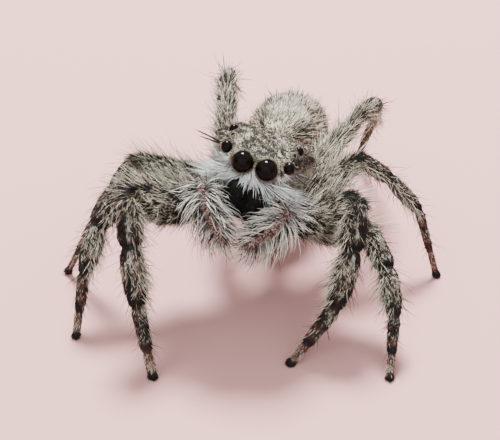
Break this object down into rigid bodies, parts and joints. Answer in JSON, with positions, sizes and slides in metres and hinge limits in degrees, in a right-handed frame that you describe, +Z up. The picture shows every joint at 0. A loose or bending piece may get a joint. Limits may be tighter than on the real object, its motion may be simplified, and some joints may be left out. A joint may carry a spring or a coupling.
{
  "type": "jumping spider",
  "caption": "Life-size still model of a jumping spider standing on its feet, head raised, with a mottled grey-tan coat of short hairs, large dark front eyes and pale fluffy palps.",
  "frame": {"origin": "on the ground under the middle of the whole outline", "axes": "+Z up, the spider faces -Y, +X is its own left side"},
  "size_m": [0.0108, 0.013, 0.0053],
  "materials": {
    "coat": "short dense mottled hairs over brown skin",
    "chitin": "smooth glossy near-black shell",
    "eye": "polished black lens"
  },
  "bodies": {
    "root": {"carapace": "coat", "mouthparts": "coat", "sternum": "coat", "pedicel": "coat", "abdomen": "coat", "spinneret_left": "coat", "spinneret_right": "coat", "palp_left_femur": "coat", "palp_left_tibia": "coat", "palp_left_tarsus": "coat", "palp_right_femur": "coat", "palp_right_tibia": "coat", "palp_right_tarsus": "coat", "leg_left_1_coxa": "coat", "leg_left_1_femur": "coat", "leg_left_1_shin": "coat", "leg_left_1_foot": "coat", "leg_left_2_coxa": "coat", "leg_left_2_femur": "coat", "leg_left_2_shin": "coat", "leg_left_2_foot": "coat", "leg_left_3_coxa": "coat", "leg_left_3_femur": "coat", "leg_left_3_shin": "coat", "leg_left_3_foot": "coat", "leg_left_4_coxa": "coat", "leg_left_4_femur": "coat", "leg_left_4_shin": "coat", "leg_left_4_foot": "coat", "leg_right_1_coxa": "coat", "leg_right_1_femur": "coat", "leg_right_1_shin": "coat", "leg_right_1_foot": "coat", "leg_right_2_coxa": "coat", "leg_right_2_femur": "coat", "leg_right_2_shin": "coat", "leg_right_2_foot": "coat", "leg_right_3_coxa": "coat", "leg_right_3_femur": "coat", "leg_right_3_shin": "coat", "leg_right_3_foot": "coat", "leg_right_4_coxa": "coat", "leg_right_4_femur": "coat", "leg_right_4_shin": "coat", "leg_right_4_foot": "coat", "chelicera_left": "chitin", "chelicera_right": "chitin", "fang_left": "chitin", "fang_right": "chitin", "eye_front_left": "eye", "eye_side_left": "eye", "eye_small_left": "eye", "eye_rear_left": "eye", "eye_front_right": "eye", "eye_side_right": "eye", "eye_small_right": "eye", "eye_rear_right": "eye"}
  },
  "joints": []
}
